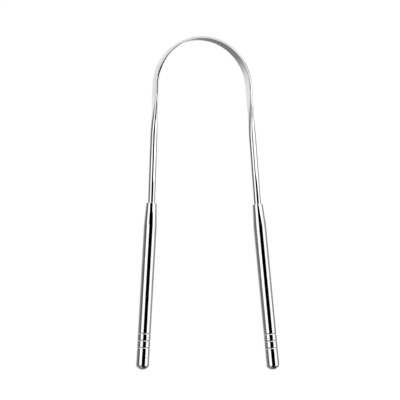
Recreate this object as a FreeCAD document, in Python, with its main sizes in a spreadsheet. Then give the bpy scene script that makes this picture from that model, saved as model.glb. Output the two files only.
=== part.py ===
import FreeCAD, Part
import math
import os
import Sketcher

# A two-handled tongue scraper: a sprung steel bow with a flattened arch and two tubular handles.
# It lies flat: X across, Y towards the arch, Z up, with the origin under the middle of its box.

# Driving sizes, in millimetres and degrees
SIZES = [
    ("wire_diameter", "3.2", "round wire of the legs and tangs"),
    ("band_width", "6.8", "flattened wire at the arch, across the plane of the bow"),
    ("band_thickness", "1.2", "flattened wire at the arch, along the arch's radius"),
    ("rim_share", "1.4", "upper rim's part of the radii that round the band"),
    ("edge_share", "0.3", "outer edge's part of the same radii"),
    ("inner_share", "0.11", "inner edge's part of the same radii"),
    ("rim_from", "45", "degrees that the surface faces up where the rim starts"),
    ("flat_turn", "2", "half the angle that each face of the band curves through"),
    ("round_turn", "40", "the same half angle where the wire is round"),
    ("arch_radius", "22.1", "arch, to the middle of the band"),
    ("leg_splay", "3.25", "each leg from the middle plane"),
    ("flat_run", "3", "flat band past each end of the arch"),
    ("transition_length", "21", "from the flat band to the round leg"),
    ("mouth_drop", "53", "from the arch's centre down to the mouths of the handles"),
    ("bend_radius", "60", "slight bend of the wire at the mouth"),
    ("grip_splay", "4.45", "each handle from the middle plane"),
    ("tang_chamfer", "0.3", "broken edge at the end of the wire"),
    ("fit_gap", "0.03", "clearance round the wire and round the plug's shank"),
    ("handle_diameter", "5.8", "outside of the tube"),
    ("handle_length", "75", "from the mouth to the tip of the dome"),
    ("tube_wall", "0.5", "wall of the tube"),
    ("nose_wall", "0.7", "wall at the mouth, where the tube is swaged down"),
    ("lip_share", "0.36", "rounding of the mouth as a share of its wall"),
    ("cone_length", "10.1", "from the mouth to the end of the taper"),
    ("neck_share", "0.4", "straight bore at the mouth as a share of the taper"),
    ("groove_count", "3", "rolled grooves"),
    ("groove_pitch", "3.2", "from one groove to the next"),
    ("groove_width", "0.6", "each groove along the tube"),
    ("groove_depth", "0.24", "each groove below the tube's surface"),
    ("groove_setback", "8", "from the last groove to the end of the tube"),
    ("bush_lead", "5.3", "from the inside taper to the bush"),
    ("bush_length", "5", "bush along the tang"),
    ("bush_chamfer", "0.2", "broken edges of the bush"),
    ("tang_tail", "0.6", "wire past the bush"),
    ("dome_height", "1.6", "dome of the end plug"),
    ("seam_step", "0.05", "edge of the dome inside the tube's outside"),
    ("plug_lead", "1.7", "shank of the plug past the first groove"),
    ("plug_chamfer", "0.3", "broken edge of the shank"),
]
SECTION_STEPS = 6

doc = FreeCAD.newDocument("tongue_scraper")
sheet = doc.addObject("Spreadsheet::Sheet", "Sizes")
for row, (alias, number, meaning) in enumerate(SIZES, 1):
    sheet.set("A%d" % row, meaning)
    sheet.set("B%d" % row, number)
    sheet.setAlias("B%d" % row, alias)
doc.recompute()

# Sizes that follow from the driving ones
WIRE_R = "(Sizes.wire_diameter / 2)"
NECK_R = "(Sizes.wire_diameter / 2 + Sizes.fit_gap)"
TUBE_R = "(Sizes.handle_diameter / 2)"
BORE_R = "(Sizes.handle_diameter / 2 - Sizes.tube_wall)"
SHANK_R = "(%s - Sizes.fit_gap)" % BORE_R
NOSE_R = "(%s + Sizes.nose_wall)" % NECK_R
LIP = "(Sizes.nose_wall * Sizes.lip_share)"
NECK_END = "(Sizes.cone_length * Sizes.neck_share)"
BORE_START = "(Sizes.cone_length + 2 * Sizes.tube_wall)"
BUSH_START = "(%s + Sizes.bush_lead)" % BORE_START
BUSH_END = "(%s + Sizes.bush_length)" % BUSH_START
TANG = "(%s + Sizes.tang_tail)" % BUSH_END
TUBE_END = "(Sizes.handle_length - Sizes.dome_height)"
GROOVES = "round(Sizes.groove_count)"
GROOVE_RUN = "(Sizes.groove_pitch * (%s - 1))" % GROOVES
GROOVE_START = "(%s - Sizes.groove_setback - %s)" % (TUBE_END, GROOVE_RUN)
GROOVE_R = "((Sizes.groove_width^2 / 4 + Sizes.groove_depth^2) / (2 * Sizes.groove_depth))"
GROOVE_AXIS = "(%s - Sizes.groove_depth + %s)" % (TUBE_R, GROOVE_R)
BEAD_R = "(%s + Sizes.tube_wall)" % GROOVE_R
PLUG_START = "(%s - Sizes.plug_lead)" % GROOVE_START
DOME_R = "(%s - Sizes.seam_step)" % TUBE_R
BALL_R = "((%s^2 + Sizes.dome_height^2) / (2 * Sizes.dome_height))" % DOME_R

# Centre line of the right leg in the plane of the bow, from the arch's centre
ARC_X = "(Sizes.arch_radius * cos(Sizes.leg_splay))"
ARC_Y = "(Sizes.arch_radius * sin(Sizes.leg_splay))"
BEND_HALF = "(Sizes.bend_radius * tan(abs(Sizes.grip_splay - Sizes.leg_splay) / 2))"
KNEE_Y = "(%s * cos(Sizes.grip_splay) - Sizes.mouth_drop)" % BEND_HALF
LEG = "((%s - %s) / cos(Sizes.leg_splay))" % (ARC_Y, KNEE_Y)
MOUTH_X = "(%s + %s * sin(Sizes.leg_splay) + %s * sin(Sizes.grip_splay))" % (ARC_X, LEG, BEND_HALF)

# Where the plane of the bow lies in the object's frame
REACH = "(Sizes.mouth_drop + Sizes.handle_length * cos(Sizes.grip_splay))"
CENTRE_Y = "((%s - Sizes.arch_radius - Sizes.band_thickness / 2) / 2)" % REACH
PLANE_Z = "(Sizes.band_width / 2)"


def value(expression):
    """The number that an expression gives with the sizes as they stand."""
    return float(sheet.evalExpression(expression))


def origin_feature(body, role):
    """A plane or an axis of a body's own origin."""
    return [f for f in body.Origin.OriginFeatures if f.Role == role][0]


def new_sketch(body, name, plane):
    """An empty sketch on one of the body's origin planes."""
    sketch = body.newObject("Sketcher::SketchObject", name)
    sketch.AttachmentSupport = [(origin_feature(body, plane), "")]
    sketch.MapMode = "FlatFace"
    return sketch


def dimension(sketch, name, expression, *constraint):
    """A named constraint whose value follows an expression of the sheet's cells."""
    index = sketch.addConstraint(Sketcher.Constraint(*constraint, value(expression)))
    sketch.renameConstraint(index, name)
    sketch.setExpression("Constraints." + name, expression)


def place_point(sketch, name, geo, pos, x, y):
    """Puts a point of a sketch at two expressions, measured from the origin."""
    for axis, kind, expression in ((-2, "DistanceX", x), (-1, "DistanceY", y)):
        at = value(expression)
        label = name + kind[-1]
        if abs(at) < 1e-9:
            sketch.addConstraint(Sketcher.Constraint("PointOnObject", geo, pos, axis))
        elif at > 0:
            dimension(sketch, label, expression, kind, -1, 1, geo, pos)
        else:
            dimension(sketch, label, "-(%s)" % expression, kind, geo, pos, -1, 1)


def draw(sketch, points, arcs, closed=True):
    """Lines through points; arcs maps a segment to its radius and its turn, +1 left or -1 right."""
    spots = [FreeCAD.Vector(value(x), value(y), 0) for x, y in points]
    count = len(points) if closed else len(points) - 1
    ends = []
    for i in range(count):
        p = spots[i]
        q = spots[(i + 1) % len(points)]
        if i not in arcs:
            ends.append((sketch.addGeometry(Part.LineSegment(p, q)), 1, 2))
            continue
        radius = value(arcs[i][0])
        turn = arcs[i][1]
        across = q - p
        rise = math.sqrt(max(radius ** 2 - (across.Length / 2) ** 2, 0.0))
        left = FreeCAD.Vector(-across.y, across.x, 0).normalize()
        centre = (p + q) * 0.5 + left * (turn * rise)
        first, last = (p, q) if turn > 0 else (q, p)
        start = math.atan2(first.y - centre.y, first.x - centre.x)
        stop = math.atan2(last.y - centre.y, last.x - centre.x)
        if stop < start:
            stop += 2 * math.pi
        circle = Part.Circle(centre, FreeCAD.Vector(0, 0, 1), radius)
        geo = sketch.addGeometry(Part.ArcOfCircle(circle, start, stop))
        ends.append((geo, 1, 2) if turn > 0 else (geo, 2, 1))
    for i in range(count if closed else count - 1):
        geo, _, tail = ends[i]
        other, head, _ = ends[(i + 1) % count]
        sketch.addConstraint(Sketcher.Constraint("Coincident", geo, tail, other, head))
    for i, (x, y) in enumerate(points):
        geo, head, tail = ends[min(i, count - 1)]
        place_point(sketch, "p%d" % i, geo, head if i < count else tail, x, y)
    for i in arcs:
        dimension(sketch, "r%d" % i, arcs[i][0], "Radius", ends[i][0])


def draw_band(sketch, thick, wide, turn, shares, off="0"):
    """Section of the pressed wire: flat faces, a crisp inner edge and a rim that rounds off outwards.

    Each side is a chain of arcs that meet smoothly. With equal sizes and equal shares it is one circle."""
    rim, edge, inner = shares
    outside = [(edge, turn, "Sizes.rim_from"), (rim, "Sizes.rim_from", "90")]
    inside = [(inner, turn, "90")]
    slope = "tan(%s / 2)" % turn
    spread = " + ".join(
        "%s * (cos(%s) - cos(%s) - %s * (sin(%s) - sin(%s)))" % (part, low, high, slope, high, low)
        for part, low, high in outside + inside
    )
    scale = "((%s - %s * %s) / (%s))" % (thick, wide, slope, spread)
    chains = []
    for arcs in (outside, inside):
        rise = " - ".join(
            "%s * %s * (sin(%s) - sin(%s))" % (part, scale, high, low) for part, low, high in arcs
        )
        face = "((%s / 2 - %s) / sin(%s))" % (wide, rise, turn)
        x = "(%s / 2 - %s * (1 - cos(%s)))" % (thick, face, turn)
        y = "(%s * sin(%s))" % (face, turn)
        chain = [(face, x, y)]
        for part, low, high in arcs:
            radius = "(%s * %s)" % (part, scale)
            x = "(%s - %s * (cos(%s) - cos(%s)))" % (x, radius, low, high)
            y = "(%s + %s * (sin(%s) - sin(%s)))" % (y, radius, high, low)
            chain.append((radius, x, y))
        chains.append(chain)
    (out_face, out_edge, out_rim), (in_face, in_edge) = chains
    points = [(off, "+", out_face), (off, "+", out_edge), (off, "+", out_rim), (off, "-", in_face)]
    upper = [("%s %s %s" % (at, sign, x), y) for at, sign, (_, x, y) in points]
    lower = [(x, "-%s" % y) for x, y in reversed(upper)]
    corners = upper + lower
    half = [out_edge[0], out_rim[0], in_edge[0]]
    radii = half + [in_face[0]] + half[::-1] + [out_face[0]]
    draw(sketch, corners, {i: (radius, 1) for i, radius in enumerate(radii)})


def draw_circle(sketch, x, y, radius):
    """A circle about a point."""
    centre = FreeCAD.Vector(value(x), value(y), 0)
    geo = sketch.addGeometry(Part.Circle(centre, FreeCAD.Vector(0, 0, 1), value(radius)))
    place_point(sketch, "middle", geo, 3, x, y)
    dimension(sketch, "ring", radius, "Radius", geo)


def revolve(body, name, sketch, kind="PartDesign::Revolution", axis="Y_Axis"):
    """A full turn of a sketch round one of the body's axes."""
    feature = body.newObject(kind, name)
    feature.Profile = sketch
    feature.ReferenceAxis = (origin_feature(body, axis), [""])
    feature.Angle = 360.0
    body.Tip = feature
    doc.recompute()
    return feature


def row_of_grooves(body, features):
    """Repeats the first rolled groove down the tube."""
    row = body.newObject("PartDesign::LinearPattern", "groove_row")
    row.Originals = features
    row.Direction = (origin_feature(body, "Y_Axis"), [""])
    row.setExpression("Length", GROOVE_RUN)
    row.setExpression("Occurrences", GROOVES)
    body.Tip = row
    doc.recompute()


def settle(body, side):
    """Puts a piece of one handle on that side's axis, in the plane of the bow."""
    body.Placement = FreeCAD.Placement(FreeCAD.Vector(), FreeCAD.Rotation(FreeCAD.Vector(0, 0, 1), 180))
    body.setExpression("Placement.Base.x", "%d * %s" % (side, MOUTH_X))
    body.setExpression("Placement.Base.y", "%s - Sizes.mouth_drop" % CENTRE_Y)
    body.setExpression("Placement.Base.z", PLANE_Z)
    body.setExpression("Placement.Rotation.Angle", "180 + %d * Sizes.grip_splay" % side)
    doc.recompute()


def make_bow():
    """One wire: flattened arch, transitions, round legs, slight bends and tangs."""
    body = doc.addObject("PartDesign::Body", "scraper_bow")
    body.Label = "scraper_bow"

    # Arch: the flat section turned about the arch's centre, the same way to both sides
    flat = new_sketch(body, "arch_section", "YZ_Plane")
    draw_band(
        flat,
        "Sizes.band_thickness",
        "Sizes.band_width",
        "Sizes.flat_turn",
        ("Sizes.rim_share", "Sizes.edge_share", "Sizes.inner_share"),
        "Sizes.arch_radius",
    )
    arch = body.newObject("PartDesign::Revolution", "arch")
    arch.Profile = flat
    arch.ReferenceAxis = (origin_feature(body, "Z_Axis"), [""])
    arch.Midplane = True
    arch.setExpression("Angle", "180 - 2 * Sizes.leg_splay")
    body.Tip = arch
    doc.recompute()

    # Flat run and transition: sections square to the leg, from the flat band to the round wire
    sections = []
    for step in range(-1, SECTION_STEPS + 1):
        share = max(step, 0) / SECTION_STEPS
        ease = share * share * (3 - 2 * share)
        along = "(Sizes.flat_run + Sizes.transition_length * %.9f)" % share if step >= 0 else "0"
        thick, wide = (
            "(%s * (Sizes.wire_diameter / %s)^%.9f)" % (flat_size, flat_size, ease)
            for flat_size in ("Sizes.band_thickness", "Sizes.band_width")
        )
        turn = "(Sizes.flat_turn * %.9f + Sizes.round_turn * %.9f)" % (1 - ease, ease)
        shares = [
            "(Sizes.%s * %.9f + 0.5 * %.9f)" % (alias, 1 - ease, ease)
            for alias in ("rim_share", "edge_share", "inner_share")
        ]
        section = new_sketch(body, "leg_section_%d" % (step + 1), "XZ_Plane")
        section.AttachmentOffset = FreeCAD.Placement(
            FreeCAD.Vector(), FreeCAD.Rotation(FreeCAD.Vector(0, 1, 0), 1)
        )
        section.setExpression("AttachmentOffset.Base.x", "%s + %s * sin(Sizes.leg_splay)" % (ARC_X, along))
        section.setExpression("AttachmentOffset.Base.z", "%s * cos(Sizes.leg_splay) - %s" % (along, ARC_Y))
        section.setExpression("AttachmentOffset.Rotation.Angle", "Sizes.leg_splay")
        draw_band(section, thick, wide, turn, shares)
        sections.append(section)
    doc.recompute()
    straight = body.newObject("PartDesign::AdditiveLoft", "flat_run")
    straight.Profile = sections[0]
    straight.Sections = sections[1:2]
    straight.Ruled = True
    body.Tip = straight
    doc.recompute()
    blend = body.newObject("PartDesign::AdditiveLoft", "transition")
    blend.Profile = sections[1]
    blend.Sections = sections[2:]
    blend.Ruled = False
    body.Tip = blend
    doc.recompute()

    # Leg, bend and tang: the round wire swept along its centre line
    pressed = "(Sizes.flat_run + Sizes.transition_length)"
    leg_end_x = "(%s + %s * sin(Sizes.leg_splay))" % (ARC_X, pressed)
    leg_end_y = "(%s - %s * cos(Sizes.leg_splay))" % (ARC_Y, pressed)
    bend_x = "(%s + (%s - %s) * sin(Sizes.leg_splay))" % (ARC_X, LEG, BEND_HALF)
    bend_y = "(%s - (%s - %s) * cos(Sizes.leg_splay))" % (ARC_Y, LEG, BEND_HALF)
    tang_x = "(%s + %s * sin(Sizes.grip_splay))" % (MOUTH_X, TANG)
    tang_y = "(-Sizes.mouth_drop - %s * cos(Sizes.grip_splay))" % TANG
    path = [(leg_end_x, leg_end_y), (bend_x, bend_y), (MOUTH_X, "(-Sizes.mouth_drop)"), (tang_x, tang_y)]
    turned = value("Sizes.grip_splay - Sizes.leg_splay")
    arcs = {1: ("Sizes.bend_radius", 1 if turned > 0 else -1)}
    if abs(turned) < 1e-6:
        path = [path[0], path[3]]
        arcs = {}
    spine = new_sketch(body, "leg_line", "XY_Plane")
    draw(spine, path, arcs, closed=False)
    wire = new_sketch(body, "leg_wire", "XZ_Plane")
    wire.AttachmentOffset = FreeCAD.Placement(
        FreeCAD.Vector(), FreeCAD.Rotation(FreeCAD.Vector(0, 1, 0), 1)
    )
    wire.setExpression("AttachmentOffset.Base.x", leg_end_x)
    wire.setExpression("AttachmentOffset.Base.z", "-%s" % leg_end_y)
    wire.setExpression("AttachmentOffset.Rotation.Angle", "Sizes.leg_splay")
    draw_circle(wire, "0", "0", WIRE_R)
    doc.recompute()
    leg = body.newObject("PartDesign::AdditivePipe", "leg")
    leg.Profile = wire
    leg.Spine = (spine, ["Edge%d" % (i + 1) for i in range(len(path) - 1)])
    body.Tip = leg
    doc.recompute()

    pair = body.newObject("PartDesign::Mirrored", "both_legs")
    pair.Originals = [straight, blend, leg]
    pair.MirrorPlane = (origin_feature(body, "YZ_Plane"), [""])
    body.Tip = pair
    doc.recompute()

    # Broken edge at both ends of the wire
    ends = []
    tips = []
    for side in (-1, 1):
        tip = FreeCAD.Vector(side * value(tang_x), value(tang_y), 0)
        way = FreeCAD.Vector(side * value("sin(Sizes.grip_splay)"), -value("cos(Sizes.grip_splay)"), 0)
        tips.append((tip, way))
    near = value("Sizes.wire_diameter")
    for i, edge in enumerate(pair.Shape.Edges, 1):
        span = edge.LastParameter - edge.FirstParameter
        spots = [edge.valueAt(edge.FirstParameter + span * k / 4) for k in range(5)]
        for tip, way in tips:
            if all(abs((q - tip).dot(way)) < 1e-4 and (q - tip).Length < near for q in spots):
                ends.append("Edge%d" % i)
    break_edge = body.newObject("PartDesign::Chamfer", "tang_edges")
    break_edge.Base = (pair, ends)
    break_edge.setExpression("Size", "Sizes.tang_chamfer")
    body.Tip = break_edge
    doc.recompute()

    body.setExpression("Placement.Base.y", CENTRE_Y)
    body.setExpression("Placement.Base.z", PLANE_Z)
    doc.recompute()
    return body


def make_tube(name, side):
    """Thin tube with a swaged nose and rolled grooves, its mouth at the origin and its axis along Y."""
    body = doc.addObject("PartDesign::Body", name)
    body.Label = name
    outline = new_sketch(body, "tube_outline", "XY_Plane")
    draw(
        outline,
        [
            (NECK_R, "0"),
            ("%s - %s" % (NOSE_R, LIP), "0"),
            (NOSE_R, LIP),
            (TUBE_R, "Sizes.cone_length"),
            (TUBE_R, TUBE_END),
            (BORE_R, TUBE_END),
            (BORE_R, BORE_START),
            (NECK_R, NECK_END),
        ],
        {1: (LIP, 1)},
    )
    revolve(body, "tube", outline)

    # The wall follows the groove, so it stands into the bore as a bead
    root = "(%s - Sizes.tube_wall / 2)" % TUBE_R
    half = "sqrt(%s^2 - (%s - %s)^2)" % (BEAD_R, GROOVE_AXIS, root)
    outline = new_sketch(body, "bead_outline", "XY_Plane")
    draw(
        outline,
        [(root, "%s - %s" % (GROOVE_START, half)), (root, "%s + %s" % (GROOVE_START, half))],
        {1: (BEAD_R, 1)},
    )
    bead = revolve(body, "bead", outline)
    outline = new_sketch(body, "groove_outline", "XY_Plane")
    draw_circle(outline, GROOVE_AXIS, GROOVE_START, GROOVE_R)
    groove = revolve(body, "groove", outline, "PartDesign::Groove")
    row_of_grooves(body, [bead, groove])
    settle(body, side)
    return body


def make_plug(name, side):
    """Domed end with a shank that fills the tube behind the grooves."""
    body = doc.addObject("PartDesign::Body", name)
    body.Label = name
    outline = new_sketch(body, "plug_outline", "XY_Plane")
    draw(
        outline,
        [
            ("0", PLUG_START),
            ("%s - Sizes.plug_chamfer" % SHANK_R, PLUG_START),
            (SHANK_R, "%s + Sizes.plug_chamfer" % PLUG_START),
            (SHANK_R, TUBE_END),
            (DOME_R, TUBE_END),
            ("0", "Sizes.handle_length"),
        ],
        {4: (BALL_R, 1)},
    )
    revolve(body, "plug", outline)
    outline = new_sketch(body, "seat_outline", "XY_Plane")
    draw_circle(outline, GROOVE_AXIS, GROOVE_START, "(%s + Sizes.fit_gap)" % BEAD_R)
    seat = revolve(body, "bead_seat", outline, "PartDesign::Groove")
    row_of_grooves(body, [seat])
    settle(body, side)
    return body


def make_bush(name, side):
    """Ring that centres the inner end of the tang in the tube's bore."""
    body = doc.addObject("PartDesign::Body", name)
    body.Label = name
    outline = new_sketch(body, "bush_outline", "XY_Plane")
    inner = "(%s - Sizes.bush_chamfer)" % BORE_R
    draw(
        outline,
        [
            (NECK_R, BUSH_START),
            (inner, BUSH_START),
            (BORE_R, "%s + Sizes.bush_chamfer" % BUSH_START),
            (BORE_R, "%s - Sizes.bush_chamfer" % BUSH_END),
            (inner, BUSH_END),
            (NECK_R, BUSH_END),
        ],
        {},
    )
    revolve(body, "bush", outline)
    settle(body, side)
    return body


pieces = [make_bow()]
for word, side in (("left", -1), ("right", 1)):
    pieces.append(make_tube(word + "_handle_tube", side))
    pieces.append(make_bush(word + "_tang_bush", side))
    pieces.append(make_plug(word + "_end_plug", side))
doc.recompute()

for item in doc.Objects:
    if "Invalid" in item.State or "Error" in item.State:
        raise RuntimeError("%s is %s" % (item.Label, item.State))
os.makedirs("parts", exist_ok=True)
for piece in pieces:
    shape = piece.Shape
    if shape.isNull() or not shape.isValid() or len(shape.Solids) != 1:
        raise RuntimeError("%s has no single valid solid" % piece.Label)
    shape.exportStep(os.path.join("parts", piece.Label + ".step"))
    box = shape.optimalBoundingBox(False)
    corners = (box.XMin, box.XMax, box.YMin, box.YMax, box.ZMin, box.ZMax)
    print(piece.Label, "%.2f mm3" % shape.Volume, ["%.3f" % c for c in corners])
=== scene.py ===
import math

import bmesh
import bpy
from bpy.props import FloatProperty, FloatVectorProperty, IntProperty, PointerProperty
from bpy.types import Operator, Panel, PropertyGroup
from mathutils import Euler, Matrix, Vector


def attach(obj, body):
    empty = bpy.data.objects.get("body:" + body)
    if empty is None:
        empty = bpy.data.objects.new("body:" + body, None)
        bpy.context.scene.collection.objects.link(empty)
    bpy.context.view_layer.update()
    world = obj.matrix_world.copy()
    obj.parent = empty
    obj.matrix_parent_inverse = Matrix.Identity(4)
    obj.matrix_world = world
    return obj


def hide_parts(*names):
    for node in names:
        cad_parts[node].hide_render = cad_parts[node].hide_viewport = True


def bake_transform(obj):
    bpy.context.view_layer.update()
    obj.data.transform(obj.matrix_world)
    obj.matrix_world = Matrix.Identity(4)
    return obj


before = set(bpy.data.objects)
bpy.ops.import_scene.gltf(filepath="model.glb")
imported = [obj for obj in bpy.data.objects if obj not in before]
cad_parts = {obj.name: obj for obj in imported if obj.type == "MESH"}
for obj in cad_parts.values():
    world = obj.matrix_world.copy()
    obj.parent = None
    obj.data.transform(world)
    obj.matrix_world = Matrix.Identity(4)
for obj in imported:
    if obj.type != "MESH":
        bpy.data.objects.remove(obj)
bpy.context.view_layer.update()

bl_info = {
    "name": "Tongue scraper",
    "version": (1, 0, 0),
    "blender": (4, 5, 0),
    "location": "3D View > Sidebar > Scraper",
    "description": "A polished steel tongue scraper: a pressed wire bow with two grooved tubular handles",
    "category": "Add Mesh",
}

SIDES = (("left", -1), ("right", 1))
# Meshes are shaped in millimetres and brought to metres at the end
MM = 0.001
WELD = 1e-4
WIRE_POINTS = 64
# Points near the middle of each face crowd towards it, so that the flats stay flat
CROWD_TO = 22.5
CROWD_BY = 1.8
# The rim proper starts where the surface faces this many degrees up
RIM_FROM = 45.0
ARCH_STEPS = 64
FLAT_STEPS = 3
TRANSITION_STEPS = 28
LEG_STEPS = 8
BEND_STEPS = 3
TANG_STEPS = 3
TURN_STEPS = 128
DOME_STEPS = 14
LIP_STEPS = 6
TAPER_EDGE_STEPS = 3
GROOVE_EDGE_STEPS = 5
SEAM_STEPS = 2
TANG_EDGE_STEPS = 2
# A round wire has this part of its width as radius
ROUND_SHARE = 0.5
# Extra rings beside the eased edges of a tube, in millimetres from the edge
TAPER_RING = 0.6
GROOVE_RING = 0.25
SEAM_RING = 0.15
# Edges that turn by more degrees than this are shaded as sharp
SHARP_FROM = 40.0
# How fine the buffing lines are across and along a piece, and on the plugs
LONG_LINES = (2600, 130, 2600)
EVEN_LINES = (1500, 1500, 1500)
# Half the floor's width, in metres
FLOOR_HALF = 3.0


def length(name, description, default):
    """A size in metres."""
    return FloatProperty(
        name=name, description=description, default=default, min=0.0, unit="LENGTH", precision=5
    )


def angle(name, description, degrees):
    """An angle, stated in degrees."""
    return FloatProperty(name=name, description=description, default=math.radians(degrees), subtype="ANGLE")


def share(name, description, default, high=1.0):
    """A plain number from zero upwards."""
    return FloatProperty(
        name=name, description=description, default=default, min=0.0, max=high, precision=4
    )


def colour(name, description, default):
    """A linear colour."""
    return FloatVectorProperty(
        name=name, description=description, default=default, size=3, min=0.0, max=1.0, subtype="COLOR"
    )


class ScraperBowSizes(PropertyGroup):
    """Sizes of the wire bow, a hair under the part's own where they set its box."""

    wire_diameter: length("Wire diameter", "Round wire of the legs", 0.0032)
    band_width: length("Band width", "Pressed wire at the arch, across the bow's plane", 0.006799)
    band_thickness: length("Band thickness", "Pressed wire at the arch, along its radius", 0.0012)
    rim_share: share("Rim", "Upper rim's part of the radii that round the band", 1.4, 4.0)
    edge_share: share("Outer edge", "Outer edge's part of the same radii", 0.3, 4.0)
    inner_share: share("Inner edge", "Inner edge's part of the same radii", 0.11, 4.0)
    flat_turn: angle("Face curve, flat", "Half the angle that a face of the band curves through", 2.0)
    round_turn: angle("Face curve, round", "The same half angle where the wire is round", 40.0)
    arch_radius: length("Arch radius", "To the middle of the band", 0.022095)
    leg_splay: angle("Leg splay", "Each leg from the middle plane", 3.25)
    flat_run: length("Flat run", "Flat band past each end of the arch", 0.003)
    transition_length: length("Transition", "From the flat band to the round leg", 0.021)
    soft_share: share("Inner edge, soft", "Inner edge's part of those radii at the arch's ends", 0.8, 4.0)
    soft_from: length("Softening from", "Where the inner edge starts to round, before the end", 0.007)
    soft_to: length("Softening to", "Where it has rounded off, past the arch's end", 0.001)
    mouth_drop: length("Mouth drop", "From the arch's centre to the mouths of the handles", 0.053)
    bend_radius: length("Bend radius", "Slight bend of the wire at the mouth", 0.06)
    tang_length: length("Tang", "Wire inside each handle", 0.022)
    tang_chamfer: length("Tang edge", "Broken edge at the end of the wire", 0.0003)


class ScraperHandleSizes(PropertyGroup):
    """Sizes of the tubular handles."""

    splay: angle("Splay", "Each handle from the middle plane", 4.45)
    diameter: length("Diameter", "Outside of the tube", 0.0058)
    full_length: length("Length", "From the mouth to the tip of the dome", 0.07499)
    tube_wall: length("Wall", "Wall of the tube", 0.0005)
    mouth_gap: length("Mouth gap", "Clearance round the wire", 0.00003)
    nose_wall: length("Nose wall", "Wall at the mouth", 0.0007)
    lip: length("Lip", "Rounding of the mouth", 0.00025)
    cone_length: length("Taper", "From the mouth to the end of the taper", 0.0101)
    cone_round: length("Taper rounding", "Easing of the edge at the end of the taper", 0.0004)
    neck_length: length("Neck", "Straight bore at the mouth", 0.004)
    groove_count: IntProperty(name="Grooves", description="Rolled grooves", default=3, min=1, max=8)
    groove_pitch: length("Groove pitch", "From one groove to the next", 0.0032)
    groove_width: length("Groove width", "Each groove along the tube", 0.0006)
    groove_depth: length("Groove depth", "Each groove, before its bottom is rounded", 0.00026)
    groove_round: length("Groove rounding", "Rounding of the shoulders and of the bottom", 0.00012)
    groove_setback: length("Groove setback", "From the last groove to the tube's end", 0.008)
    dome_height: length("Dome", "Height of the domed end", 0.0016)
    seam_step: length("Seam", "Dome's edge inside the tube's outside", 0.00005)
    seam_round: length("Seam rounding", "Broken edges at the seam", 0.00004)
    plug_lead: length("Plug lead", "Shank of the plug past the first groove", 0.0017)


class ScraperFinish(PropertyGroup):
    """Colours and polish of the steel."""

    steel: colour("Steel", "Polished stainless steel", (0.80, 0.80, 0.805))
    steel_low: colour("Steel, dull", "Where the polish is thinner", (0.74, 0.74, 0.745))
    # Painted shade: the colour that the grooves and other sunk parts of the tubes are darkened towards
    crevice_shade: colour("Crevice", "Bottom of grooves and seams, which the buff misses", (0.42, 0.42, 0.425))
    bush: colour("Bush", "Turned steel inside the handles", (0.52, 0.52, 0.53))
    polish: share("Roughness", "Roughness of the polished faces", 0.035)
    haze: share("Haze", "How much the roughness varies", 0.03)
    scratches: share("Scratches", "Height of the buffing lines", 0.02)
    ripple: share("Ripple", "Height of the slow waves left by rolling", 0.02)


class ScraperStage(PropertyGroup):
    """Floor, light and camera."""

    floor: colour("Floor", "Pale floor", (0.93, 0.93, 0.93))
    fill: share("Fill", "Soft light on the floor", 1.10, 4.0)
    softbox: share("Softboxes", "Light of the side panels and the soft box", 1.4, 8.0)
    back: share("Back wall", "Light of the wall past the arch", 0.88, 8.0)
    glow: share("Glow", "Part of the floor's light that comes through it from below", 0.9)
    card_height: length("Card height", "The two sheets above the floor", 0.148)
    camera_at: FloatVectorProperty(
        name="Camera place",
        description="Where the photograph was taken from",
        default=(-0.636452, -0.194661, 1.916007),
        size=3,
        subtype="TRANSLATION",
        unit="LENGTH",
    )
    camera_turn: FloatVectorProperty(
        name="Camera turn",
        description="How the camera is held",
        default=tuple(math.radians(a) for a in (5.9283, -18.2316, -1.2042)),
        size=3,
        subtype="EULER",
    )
    lens: FloatProperty(name="Lens", description="Focal length on a 36 mm frame", default=405.0, min=1.0)


def eased(number, low, high):
    """How far a number has come from low to high, eased at both ends."""
    part = min(max((number - low) / (high - low), 0.0), 1.0)
    return part * part * (3 - 2 * part)


def mouth_of(bow, handle):
    """Mouth's distance from the middle, leg's straight run and the arch's centre, in millimetres."""
    radius = bow.arch_radius / MM
    leg, grip = bow.leg_splay, handle.splay
    half = bow.bend_radius / MM * math.tan(abs(grip - leg) / 2)
    knee_y = half * math.cos(grip) - bow.mouth_drop / MM
    run = (radius * math.sin(leg) - knee_y) / math.cos(leg)
    mouth_x = radius * math.cos(leg) + run * math.sin(leg) + half * math.sin(grip)
    reach = (bow.mouth_drop + handle.full_length * math.cos(grip)) / MM
    centre_y = (reach - radius - bow.band_thickness / MM / 2) / 2
    return mouth_x, run - half, centre_y, bow.band_width / MM / 2


def link_piece(name, bm, material):
    """Ends a shape in metres as a smooth object at the origin."""
    bmesh.ops.scale(bm, vec=(MM, MM, MM), verts=bm.verts)
    for face in bm.faces:
        face.smooth = True
    mesh = bpy.data.meshes.new(name)
    bm.to_mesh(mesh)
    bm.free()
    mesh.set_sharp_from_angle(angle=math.radians(SHARP_FROM))
    mesh.materials.append(material)
    piece = bpy.data.objects.new(name, mesh)
    bpy.context.scene.collection.objects.link(piece)
    return piece


def outline(bm, corners, closed):
    """A line of edges through corners given by two distances: out, or across, and along."""
    verts = [bm.verts.new((out, along, 0.0)) for out, along in corners]
    last = len(verts) if closed else len(verts) - 1
    return [bm.edges.new((verts[i], verts[(i + 1) % len(verts)])) for i in range(last)]


def turn(bm):
    """Turns everything drawn so far into a solid about the handle's axis."""
    bmesh.ops.spin(
        bm,
        geom=bm.verts[:] + bm.edges[:],
        cent=(0, 0, 0),
        axis=(0, 1, 0),
        dvec=(0, 0, 0),
        angle=2 * math.pi,
        steps=TURN_STEPS,
        use_merge=True,
        use_duplicate=False,
    )
    bmesh.ops.remove_doubles(bm, verts=bm.verts, dist=WELD)
    bmesh.ops.recalc_face_normals(bm, faces=bm.faces)


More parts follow.
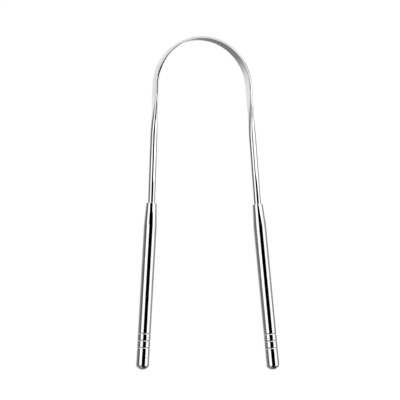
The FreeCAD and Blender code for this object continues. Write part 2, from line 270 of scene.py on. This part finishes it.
def ease_edge(bm, radius, along, width, segments):
    """Rounds the ring of edges at one corner of a turned shape."""

    def at_corner(v):
        return abs(math.hypot(v.co.x, v.co.z) - radius) < WELD and abs(v.co.y - along) < WELD

    ring = [edge for edge in bm.edges if all(at_corner(v) for v in edge.verts)]
    if not ring:
        raise RuntimeError("no edge at %.3f, %.3f" % (radius, along))
    bmesh.ops.bevel(
        bm,
        geom=ring,
        offset=width,
        offset_type="OFFSET",
        segments=segments,
        profile=0.5,
        affect="EDGES",
        clamp_overlap=True,
        material=-1,
    )


def put_on_side(bm, side, bow, handle):
    """Moves a handle's piece from its own axis to its side of the bow."""
    mouth_x, _, centre_y, plane_z = mouth_of(bow, handle)
    place = Matrix.Translation((side * mouth_x, centre_y - bow.mouth_drop / MM, plane_z))
    place = place @ Matrix.Rotation(math.pi + side * handle.splay, 4, "Z")
    bmesh.ops.transform(bm, matrix=place, verts=bm.verts)


def grooves_of(handle):
    """Middles of the rolled grooves along the handle, and the tube's end, in millimetres."""
    end = (handle.full_length - handle.dome_height) / MM
    last = end - handle.groove_setback / MM
    count = handle.groove_count
    return [last - handle.groove_pitch / MM * (count - 1 - i) for i in range(count)], end


def heights(edges):
    """How far directions raised by these degrees go along the axis they are raised towards."""
    return [math.sin(math.radians(edge)) for edge in edges]


class NodeMaker:
    """Short calls for building a node tree."""

    def __init__(self, tree):
        self.tree = tree
        self.tree.nodes.clear()

    def node(self, kind, inputs=(), **settings):
        """A node with its settings, and its inputs linked or filled by name or number."""
        made = self.tree.nodes.new(kind)
        for key, setting in settings.items():
            setattr(made, key, setting)
        for key, source in dict(inputs).items():
            if isinstance(source, bpy.types.NodeSocket):
                self.tree.links.new(source, made.inputs[key])
            else:
                made.inputs[key].default_value = source
        return made

    def math(self, operation, first, second=0.0):
        """One step of arithmetic."""
        return self.node("ShaderNodeMath", {0: first, 1: second}, operation=operation).outputs[0]

    def rise(self, source, low, high, to_low=0.0, to_high=1.0):
        """A smooth rise between two values of a source."""
        made = self.node(
            "ShaderNodeMapRange",
            {"Value": source, "From Min": low, "From Max": high, "To Min": to_low, "To Max": to_high},
            interpolation_type="SMOOTHSTEP",
        )
        return made.outputs["Result"]

    def mix(self, factor, first, second):
        """A mix of two colours."""
        made = self.node("ShaderNodeMix", {0: factor, 6: first, 7: second}, data_type="RGBA")
        return made.outputs[2]

    def noise(self, vector, scale, detail, rough=0.5):
        """A noise pattern from zero to one."""
        made = self.node(
            "ShaderNodeTexNoise", {"Vector": vector, "Scale": scale, "Detail": detail, "Roughness": rough}
        )
        return made.outputs["Fac"]


def polished_steel(name, finish, stretch, tilt):
    """Buffed stainless steel: fine lines along the piece, slow ripples, faint haze, and painted shade
    darkening the sunk grooves, which are also rougher.
    """
    material = bpy.data.materials.new(name)
    material.use_nodes = True
    make = NodeMaker(material.node_tree)
    place = make.node("ShaderNodeTexCoord").outputs["Object"]
    lined = make.node("ShaderNodeMapping", {"Vector": place, "Rotation": (0, 0, tilt), "Scale": stretch})
    lines = make.noise(lined.outputs[0], 1.0, 3.0, 0.6)
    cloud = make.noise(place, 170.0, 4.0, 0.55)
    waves = make.noise(place, 95.0, 1.0)
    # Painted shade: sunk parts are darkened by the mask read here, and they are also made rougher
    crevice_shade = make.node("ShaderNodeAttribute", attribute_name="crevice_shade").outputs["Fac"]
    worn = make.rise(cloud, 0.35, 0.72)
    bright = make.mix(worn, (*finish.steel, 1), (*finish.steel_low, 1))
    tone = make.mix(crevice_shade, bright, (*finish.crevice_shade, 1))
    haze = make.math("MULTIPLY_ADD", worn, finish.haze)
    haze.node.inputs[2].default_value = finish.polish
    lined_haze = make.math("MULTIPLY_ADD", make.rise(lines, 0.5, 0.75), 0.02)
    make.tree.links.new(haze, lined_haze.node.inputs[2])
    rough = make.math("MULTIPLY_ADD", crevice_shade, 0.22)
    make.tree.links.new(lined_haze, rough.node.inputs[2])
    rippled = make.node("ShaderNodeBump", {"Strength": finish.ripple, "Distance": 0.002, "Height": waves})
    scratched = make.node(
        "ShaderNodeBump",
        {"Strength": finish.scratches, "Distance": 0.0001, "Height": lines, "Normal": rippled.outputs[0]},
    )
    steel = make.node(
        "ShaderNodeBsdfPrincipled",
        {"Base Color": tone, "Metallic": 1.0, "Roughness": rough, "Normal": scratched.outputs[0]},
    )
    make.node("ShaderNodeOutputMaterial", {"Surface": steel.outputs[0]})
    return material


class SCRAPER_OT_bow(Operator):
    """Bends a round wire into the bow and presses its arch flat"""

    bl_idname = "scraper.bow"
    bl_label = "Bow"

    def section(self, bow, ease, soft, across, up):
        """Where a point of the round wire goes when the wire is pressed, by the way its surface faces.

        The pressed wire has flat faces, a crisp inner edge and a rim that rounds off to the outside."""
        thick = bow.band_thickness / MM * (bow.wire_diameter / bow.band_thickness) ** ease
        wide = bow.band_width / MM * (bow.wire_diameter / bow.band_width) ** ease
        bend = bow.flat_turn * (1 - ease ** 2) + bow.round_turn * ease ** 2
        knee = math.radians(RIM_FROM)
        up_right = math.pi / 2
        inner = bow.inner_share * (1 - soft) + bow.soft_share * soft
        rim, edge, inner = (
            part * (1 - ease) + ROUND_SHARE * ease for part in (bow.rim_share, bow.edge_share, inner)
        )
        # Each side is a chain of arcs: radius share, and the angles that its surface faces through
        outside = [(edge, bend, knee), (rim, knee, up_right)]
        inside = [(inner, bend, up_right)]
        slope = math.tan(bend / 2)
        spread = sum(
            part * (math.cos(low) - math.cos(high) - slope * (math.sin(high) - math.sin(low)))
            for part, low, high in outside + inside
        )
        scale = (thick - wide * slope) / spread
        facing = math.atan2(abs(up), abs(across))
        near = math.radians(CROWD_TO)
        if facing < near:
            facing = near * (facing / near) ** CROWD_BY
        arcs = [(part * scale, low, high) for part, low, high in (inside if across < 0 else outside)]
        rise = sum(radius * (math.sin(high) - math.sin(low)) for radius, low, high in arcs)
        arcs.insert(0, ((wide / 2 - rise) / math.sin(bend), 0.0, bend))
        x, y = thick / 2, 0.0
        for radius, low, high in arcs:
            to = min(facing, high)
            if to > low:
                x -= radius * (math.cos(low) - math.cos(to))
                y += radius * (math.sin(to) - math.sin(low))
        return (-x if across < 0 else x), math.copysign(y, up)

    def extend(self, bm, ring, shift, steps):
        """Draws the wire out in steps from an open ring of edges."""
        for _ in range(steps):
            out = bmesh.ops.extrude_edge_only(bm, edges=ring)["geom"]
            verts = [v for v in out if isinstance(v, bmesh.types.BMVert)]
            bmesh.ops.translate(bm, vec=shift / steps, verts=verts)
            new = set(verts)
            ring = [e for e in out if isinstance(e, bmesh.types.BMEdge) and set(e.verts) <= new]
        return ring

    def swing(self, bm, ring, centre, turned, steps):
        """Bends the wire on from an open ring of edges."""
        verts = list({v for e in ring for v in e.verts})
        out = bmesh.ops.spin(
            bm, geom=verts + ring, cent=centre, axis=(0, 0, 1), dvec=(0, 0, 0), angle=turned, steps=steps
        )["geom_last"]
        return [e for e in out if isinstance(e, bmesh.types.BMEdge)]

    def execute(self, context):
        bow, handle = context.scene.scraper_bow, context.scene.scraper_handle
        radius = bow.arch_radius / MM
        leg, grip = bow.leg_splay, handle.splay
        _, straight, centre_y, plane_z = mouth_of(bow, handle)
        down = Vector((math.sin(leg), -math.cos(leg), 0))
        outward = Vector((math.cos(leg), math.sin(leg), 0))
        arch_end = outward * radius
        flat = bow.flat_run / MM
        change = bow.transition_length / MM
        soft_from, soft_to = bow.soft_from / MM, bow.soft_to / MM

        # Right half as round wire: from the crown to the end of the tang
        bm = bmesh.new()
        verts = bmesh.ops.create_circle(
            bm, cap_ends=False, segments=WIRE_POINTS, radius=bow.wire_diameter / MM / 2
        )["verts"]
        upright = Matrix(((0, 0, 1, 0), (1, 0, 0, radius), (0, 1, 0, 0), (0, 0, 0, 1)))
        bmesh.ops.transform(bm, matrix=upright, verts=verts)
        ring = self.swing(bm, bm.edges[:], (0, 0, 0), leg - math.pi / 2, ARCH_STEPS)
        ring = self.extend(bm, ring, down * flat, FLAT_STEPS)
        ring = self.extend(bm, ring, down * change, TRANSITION_STEPS)
        ring = self.extend(bm, ring, down * (straight - flat - change), LEG_STEPS)
        bend_at = arch_end + down * straight + outward * (bow.bend_radius / MM)
        ring = self.swing(bm, ring, bend_at, grip - leg, BEND_STEPS)
        along = Vector((math.sin(grip), -math.cos(grip), 0))
        ring = self.extend(bm, ring, along * (bow.tang_length / MM), TANG_STEPS)
        cap = bmesh.ops.edgeloop_fill(bm, edges=ring)["faces"]
        bmesh.ops.bevel(
            bm,
            geom=list({e for f in cap for e in f.edges}),
            offset=bow.tang_chamfer / MM,
            offset_type="OFFSET",
            segments=TANG_EDGE_STEPS,
            profile=0.5,
            affect="EDGES",
            clamp_overlap=True,
            material=-1,
        )

        # Pressing: flat round the arch, easing back to round along the leg
        for v in bm.verts:
            run = (v.co - arch_end).dot(down)
            if run > flat + change:
                continue
            if run > WELD:
                ease = eased(run, flat, flat + change)
                soft = eased(run, -soft_from, soft_to)
                across = (v.co - arch_end).dot(outward)
                moved, up = self.section(bow, ease, soft, across, v.co.z)
                v.co += outward * (moved - across)
            else:
                far = math.hypot(v.co.x, v.co.y)
                soft = eased(radius * (leg - math.atan2(v.co.y, v.co.x)), -soft_from, soft_to)
                moved, up = self.section(bow, 0.0, soft, far - radius, v.co.z)
                v.co.x *= (radius + moved) / far
                v.co.y *= (radius + moved) / far
            v.co.z = up

        bmesh.ops.mirror(
            bm, geom=bm.verts[:] + bm.edges[:] + bm.faces[:], matrix=Matrix(), merge_dist=WELD, axis="X"
        )
        bmesh.ops.remove_doubles(bm, verts=bm.verts, dist=WELD)
        bmesh.ops.recalc_face_normals(bm, faces=bm.faces)
        bmesh.ops.translate(bm, vec=(0, centre_y, plane_z), verts=bm.verts)
        steel = polished_steel("Bow_Steel", context.scene.scraper_finish, LONG_LINES, 0.0)
        piece = link_piece("bow", bm, steel)
        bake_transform(piece)
        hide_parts("scraper_bow")
        return {"FINISHED"}


class SCRAPER_OT_tubes(Operator):
    """Turns the two handle tubes with their swaged noses and rolled grooves"""

    bl_idname = "scraper.tubes"
    bl_label = "Handle tubes"

    def execute(self, context):
        bow, handle = context.scene.scraper_bow, context.scene.scraper_handle
        tube = handle.diameter / MM / 2
        bore = tube - handle.tube_wall / MM
        neck = (bow.wire_diameter / 2 + handle.mouth_gap) / MM
        nose = neck + handle.nose_wall / MM
        cone = handle.cone_length / MM
        half = handle.groove_width / MM / 2
        low = tube - handle.groove_depth / MM
        soft = handle.groove_round / MM
        middles, end = grooves_of(handle)
        for word, side in SIDES:
            bm = bmesh.new()
            # Extra rings beside each eased edge keep the plain faces plain
            slope = (tube - nose) / cone
            corners = [(neck, 0.0), (nose, 0.0)]
            beside = (2 * handle.lip / MM, cone - TAPER_RING)
            corners += [(nose + slope * along, along) for along in beside]
            corners += [(tube, cone), (tube, cone + TAPER_RING)]
            for middle in middles:
                corners += [(tube, middle - half - GROOVE_RING), (tube, middle - half), (low, middle)]
                corners += [(tube, middle + half), (tube, middle + half + GROOVE_RING)]
            corners += [(tube, end - SEAM_RING), (tube, end), (bore, end)]
            corners += [(bore, cone + 2 * handle.tube_wall / MM), (neck, handle.neck_length / MM)]
            outline(bm, corners, True)
            turn(bm)
            ease_edge(bm, nose, 0.0, handle.lip / MM, LIP_STEPS)
            ease_edge(bm, tube, cone, handle.cone_round / MM, TAPER_EDGE_STEPS)
            for middle in middles:
                ease_edge(bm, low, middle, soft, GROOVE_EDGE_STEPS)
                ease_edge(bm, tube, middle - half, soft, GROOVE_EDGE_STEPS)
                ease_edge(bm, tube, middle + half, soft, GROOVE_EDGE_STEPS)
            ease_edge(bm, tube, end, handle.seam_round / MM, SEAM_STEPS)
            # Painted shade mask: how far each point past the taper lies sunk below the tube's outside
            layer = bm.verts.layers.float.new("crevice_shade")
            for v in bm.verts:
                sunk = (tube - math.hypot(v.co.x, v.co.z)) / (tube - low)
                if v.co.y > cone:
                    v[layer] = min(max(sunk, 0.0), 1.0) ** 2
            put_on_side(bm, side, bow, handle)
            steel = polished_steel(
                word.title() + "_Tube_Steel",
                context.scene.scraper_finish,
                LONG_LINES,
                -side * handle.splay,
            )
            piece = link_piece(word + "_tube", bm, steel)
            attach(piece, word + "_arm")
            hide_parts(word + "_handle_tube")
        return {"FINISHED"}


class SCRAPER_OT_plugs(Operator):
    """Turns the domed plugs that close the handles"""

    bl_idname = "scraper.plugs"
    bl_label = "End plugs"

    def execute(self, context):
        bow, handle = context.scene.scraper_bow, context.scene.scraper_handle
        tube = handle.diameter / MM / 2
        rim = tube - handle.seam_step / MM
        shank = tube - (handle.tube_wall + handle.mouth_gap) / MM - handle.groove_depth / MM
        tip = handle.full_length / MM
        height = handle.dome_height / MM
        ball = (rim ** 2 + height ** 2) / (2 * height)
        middles, end = grooves_of(handle)
        start = middles[0] - handle.plug_lead / MM
        for word, side in SIDES:
            bm = bmesh.new()
            # Dome: the rim's point swung up to the tip about the dome's centre
            first = bm.verts.new((rim, end, 0))
            bmesh.ops.spin(
                bm,
                geom=[first],
                cent=(0, tip - ball, 0),
                axis=(0, 0, 1),
                dvec=(0, 0, 0),
                angle=math.asin(rim / ball) if height <= ball else math.pi - math.asin(rim / ball),
                steps=DOME_STEPS,
            )
            outline(bm, [(rim, end), (shank, end), (shank, start), (0.0, start)], False)
            bmesh.ops.remove_doubles(bm, verts=bm.verts, dist=WELD)
            turn(bm)
            ease_edge(bm, rim, end, handle.seam_round / MM, SEAM_STEPS)
            put_on_side(bm, side, bow, handle)
            steel = polished_steel(
                word.title() + "_Plug_Steel",
                context.scene.scraper_finish,
                EVEN_LINES,
                -side * handle.splay,
            )
            piece = link_piece(word + "_plug", bm, steel)
            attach(piece, word + "_arm")
            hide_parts(word + "_end_plug")
        return {"FINISHED"}


class SCRAPER_OT_bushes(Operator):
    """Gives the bushes inside the handles their turned finish"""

    bl_idname = "scraper.bushes"
    bl_label = "Tang bushes"

    def execute(self, context):
        finish = context.scene.scraper_finish
        material = bpy.data.materials.new("Bush_Steel")
        material.use_nodes = True
        make = NodeMaker(material.node_tree)
        place = make.node("ShaderNodeTexCoord").outputs["Object"]
        lined = make.node("ShaderNodeMapping", {"Vector": place, "Scale": (300, 9000, 300)})
        lines = make.noise(lined.outputs[0], 1.0, 2.0)
        tone = make.mix(lines, (*finish.bush, 1), (*[c * 0.8 for c in finish.bush], 1))
        rough = make.rise(lines, 0.3, 0.7, 0.25, 0.4)
        turned = make.node("ShaderNodeBump", {"Strength": 0.3, "Distance": 0.0001, "Height": lines})
        steel = make.node(
            "ShaderNodeBsdfPrincipled",
            {"Base Color": tone, "Metallic": 1.0, "Roughness": rough, "Normal": turned.outputs[0]},
        )
        make.node("ShaderNodeOutputMaterial", {"Surface": steel.outputs[0]})
        for word, _ in SIDES:
            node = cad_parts[word + "_tang_bush"]
            node.data.materials.clear()
            node.data.materials.append(material)
        return {"FINISHED"}


class SCRAPER_OT_stage(Operator):
    """Sets the pale floor, the studio light and the camera"""

    bl_idname = "scraper.stage"
    bl_label = "Stage"

    # Light round the handles' axis: degrees from straight up towards +X, and share of the panels' light
    studio = (
        (-180, 0.20),
        (-160, 0.24),
        (-147, 0.24),
        (-125, 0.20),
        (-106, 0.105),
        (-77.4, 0.075),
        (-74.4, 1.0),
        (-34.4, 1.0),
        (-31.4, 0.0),
        (28.2, 0.0),
        (31.2, 1.0),
        (72, 1.0),
        (78, 0.31),
        (90, 0.27),
        (110, 0.25),
        (164, 0.18),
        (180, 0.20),
    )

    # Past the arch the dark gap slants: where that starts, how far it goes on, and how much
    slant_from = 0.195
    slant_run = 0.185
    slant_by = 2.0
    # Soft edges of the surround's parts, in degrees: the wall past the arch, the dark room in front, the
    # same room beside the right panel, where that side starts, and where the room ends on the left
    wall_edge = (24, 31)
    room_edge = (14, 22)
    room_edge_right = (42, 54)
    right_edge = (30, 36)
    left_edge = (-66, -58)
    # How far up a direction points where the slant and the dark room fade in
    slant_height = (-0.02, 0.3)
    room_height = (-0.55, -0.15)
    room_dark = (0.02, 0.02, 0.02, 1)
    # Light from below: how steeply down it is seen, its lean to the left, its run and its shades
    below_edge = (0.84, 0.93)
    below_lean = -0.35
    below_run = (-0.30, 0.22)
    below_shades = (0.245, 0.92)

    # Corners of the two sheets over the bow, across and along, in millimetres
    lit_corners = ((12, 25), (120, 25), (120, 80), (12, 80))
    black_corners = ((-200, 62), (-62, 62), (-62, 125), (-200, 125))

    def floor(self, stage):
        """A large pale sheet under the object."""
        bm = bmesh.new()
        bmesh.ops.create_grid(bm, x_segments=1, y_segments=1, size=FLOOR_HALF)
        mesh = bpy.data.meshes.new("floor")
        bm.to_mesh(mesh)
        bm.free()
        material = bpy.data.materials.new("Floor_Pale")
        material.use_nodes = True
        make = NodeMaker(material.node_tree)
        place = make.node("ShaderNodeTexCoord").outputs["Object"]
        grain = make.noise(place, 900.0, 2.0)
        tone = make.mix(grain, (*stage.floor, 1), (*[min(c * 1.02, 1.0) for c in stage.floor], 1))
        matt = make.node("ShaderNodeBsdfDiffuse", {"Color": tone})
        lit = make.node("ShaderNodeEmission", {"Color": tone, "Strength": stage.fill})
        look = make.node("ShaderNodeMixShader", {0: stage.glow, 1: matt.outputs[0], 2: lit.outputs[0]})
        make.node("ShaderNodeOutputMaterial", {"Surface": look.outputs[0]})
        mesh.materials.append(material)
        sheet = bpy.data.objects.new("floor", mesh)
        sheet.visible_glossy = False
        bpy.context.scene.collection.objects.link(sheet)

    def studio_light(self, stage):
        """Two long panels with a dark gap overhead, a light wall past the arch, a dark room in front."""
        world = bpy.data.worlds.new("studio")
        bpy.context.scene.world = world
        world.use_nodes = True
        world.cycles.sampling_method = "NONE"
        make = NodeMaker(world.node_tree)
        way = make.node("ShaderNodeTexCoord").outputs["Generated"]
        split = make.node("ShaderNodeSeparateXYZ", {0: way}).outputs
        lean = make.math("ARCTAN2", split["X"], split["Z"])
        above = make.rise(split["Z"], *self.slant_height)
        # The gap runs straight over the handles and slants to the left past the arch
        ahead = make.math("MAXIMUM", make.math("SUBTRACT", split["Y"], self.slant_from), 0.0)
        ahead = make.math("MINIMUM", ahead, self.slant_run)
        slant = make.math("MULTIPLY", make.math("MULTIPLY", ahead, self.slant_by), above)
        slanted = make.math("ADD", lean, slant)
        along = make.math("MULTIPLY_ADD", slanted, 0.5 / math.pi)
        along.node.inputs[2].default_value = 0.5
        ramp = make.node("ShaderNodeValToRGB", {"Fac": along})
        stops = ramp.color_ramp.elements
        while len(stops) < len(self.studio):
            stops.new(0.5)
        for stop, (degrees, light) in zip(stops, self.studio):
            stop.position = degrees / 360 + 0.5
            stop.color = (light, light, light, 1)
        panels = make.node("ShaderNodeVectorMath", {0: ramp.outputs["Color"]}, operation="SCALE")
        panels.inputs["Scale"].default_value = stage.softbox
        # Light from below is stronger towards the far left
        reach = make.math("MULTIPLY_ADD", split["X"], self.below_lean)
        make.tree.links.new(split["Y"], reach.node.inputs[2])
        under = make.rise(make.math("MULTIPLY", split["Z"], -1.0), *self.below_edge)
        grey = make.rise(reach, *self.below_run, *self.below_shades)
        shade = make.node("ShaderNodeCombineColor", {0: grey, 1: grey, 2: grey})
        ground = make.mix(under, panels.outputs[0], shade.outputs[0])
        far = make.rise(split["Y"], *heights(self.wall_edge))
        wall = make.mix(far, ground, (stage.back, stage.back, stage.back, 1))
        front = make.math("MULTIPLY", split["Y"], -1.0)
        beside = make.rise(lean, *(math.radians(edge) for edge in self.right_edge))
        ahead_part = make.math("SUBTRACT", 1.0, beside)
        near = make.math("MULTIPLY", make.rise(front, *heights(self.room_edge)), ahead_part)
        near_right = make.math("MULTIPLY", make.rise(front, *heights(self.room_edge_right)), beside)
        room = make.math("ADD", near, near_right)
        not_left = make.rise(lean, *(math.radians(edge) for edge in self.left_edge))
        not_below = make.rise(split["Z"], *self.room_height)
        dark = make.math("MULTIPLY", make.math("MULTIPLY", room, not_left), not_below)
        glossy = make.mix(dark, wall, self.room_dark)
        path = make.node("ShaderNodeLightPath").outputs
        soft = make.mix(path["Is Diffuse Ray"], glossy, (stage.fill, stage.fill, stage.fill, 1))
        seen = make.mix(path["Is Camera Ray"], soft, (1.0, 1.0, 1.0, 1))
        light = make.node("ShaderNodeBackground", {"Color": seen})
        make.node("ShaderNodeOutputWorld", {"Surface": light.outputs[0]})

    def card(self, stage, name, corners):
        """A flat sheet over the bow, seen in reflections and not by the camera."""
        bm = bmesh.new()
        edges = outline(bm, corners, True)
        bmesh.ops.triangle_fill(
            bm, edges=edges, use_beauty=True, use_dissolve=False, normal=(0, 0, -1)
        )
        bmesh.ops.translate(bm, vec=(0, 0, stage.card_height / MM), verts=bm.verts)
        bmesh.ops.scale(bm, vec=(MM, MM, MM), verts=bm.verts)
        mesh = bpy.data.meshes.new(name)
        bm.to_mesh(mesh)
        bm.free()
        material = bpy.data.materials.new(name.title())
        material.use_nodes = True
        mesh.materials.append(material)
        sheet = bpy.data.objects.new(name, mesh)
        sheet.visible_camera = False
        sheet.visible_diffuse = False
        sheet.visible_shadow = False
        bpy.context.scene.collection.objects.link(sheet)
        return NodeMaker(material.node_tree)

    def lit_card(self, stage):
        """A plain soft box over the right of the bow, which narrows the dark gap in the legs."""
        make = self.card(stage, "lit_card", self.lit_corners)
        clear = make.node("ShaderNodeBsdfTransparent")
        lit = make.node("ShaderNodeEmission", {"Strength": stage.softbox})
        both = make.node("ShaderNodeAddShader", {0: clear.outputs[0], 1: lit.outputs[0]})
        make.node("ShaderNodeOutputMaterial", {"Surface": both.outputs[0]})

    def black_card(self, stage):
        """A plain black sheet past the left end of the arch, which widens the gap there."""
        make = self.card(stage, "black_card", self.black_corners)
        black = make.node("ShaderNodeBsdfDiffuse", {"Color": (0.01, 0.01, 0.01, 1)})
        make.node("ShaderNodeOutputMaterial", {"Surface": black.outputs[0]})

    def execute(self, context):
        stage = context.scene.scraper_stage
        self.floor(stage)
        self.studio_light(stage)
        self.lit_card(stage)
        self.black_card(stage)
        data = bpy.data.cameras.new("camera")
        data.sensor_width = 36.0
        data.lens = stage.lens
        data.clip_start = 0.01
        camera = bpy.data.objects.new("camera", data)
        camera.location = stage.camera_at
        camera.rotation_euler = Euler(stage.camera_turn)
        context.scene.collection.objects.link(camera)
        context.scene.camera = camera
        context.scene.view_settings.view_transform = "Standard"
        return {"FINISHED"}


OPERATORS = (SCRAPER_OT_bow, SCRAPER_OT_tubes, SCRAPER_OT_plugs, SCRAPER_OT_bushes, SCRAPER_OT_stage)
GROUPS = (
    ("scraper_bow", ScraperBowSizes),
    ("scraper_handle", ScraperHandleSizes),
    ("scraper_finish", ScraperFinish),
    ("scraper_stage", ScraperStage),
)


class SCRAPER_PT_panel(Panel):
    """Lists the pieces, their sizes and their colours."""

    bl_idname = "SCRAPER_PT_panel"
    bl_label = "Tongue scraper"
    bl_space_type = "VIEW_3D"
    bl_region_type = "UI"
    bl_category = "Scraper"

    def draw(self, context):
        layout = self.layout
        for operator in OPERATORS:
            layout.operator(operator.bl_idname)
        for key, group in GROUPS:
            box = layout.box()
            for name in group.__annotations__:
                box.prop(getattr(context.scene, key), name)


def register():
    for key, group in GROUPS:
        bpy.utils.register_class(group)
        setattr(bpy.types.Scene, key, PointerProperty(type=group))
    for kind in OPERATORS:
        bpy.utils.register_class(kind)
    bpy.utils.register_class(SCRAPER_PT_panel)


def unregister():
    bpy.utils.unregister_class(SCRAPER_PT_panel)
    for kind in reversed(OPERATORS):
        bpy.utils.unregister_class(kind)
    for key, group in reversed(GROUPS):
        delattr(bpy.types.Scene, key)
        bpy.utils.unregister_class(group)


def main():
    register()
    bpy.ops.scraper.bow()
    bpy.ops.scraper.tubes()
    bpy.ops.scraper.plugs()
    bpy.ops.scraper.bushes()
    bpy.ops.scraper.stage()


if __name__ == "__main__":
    main()
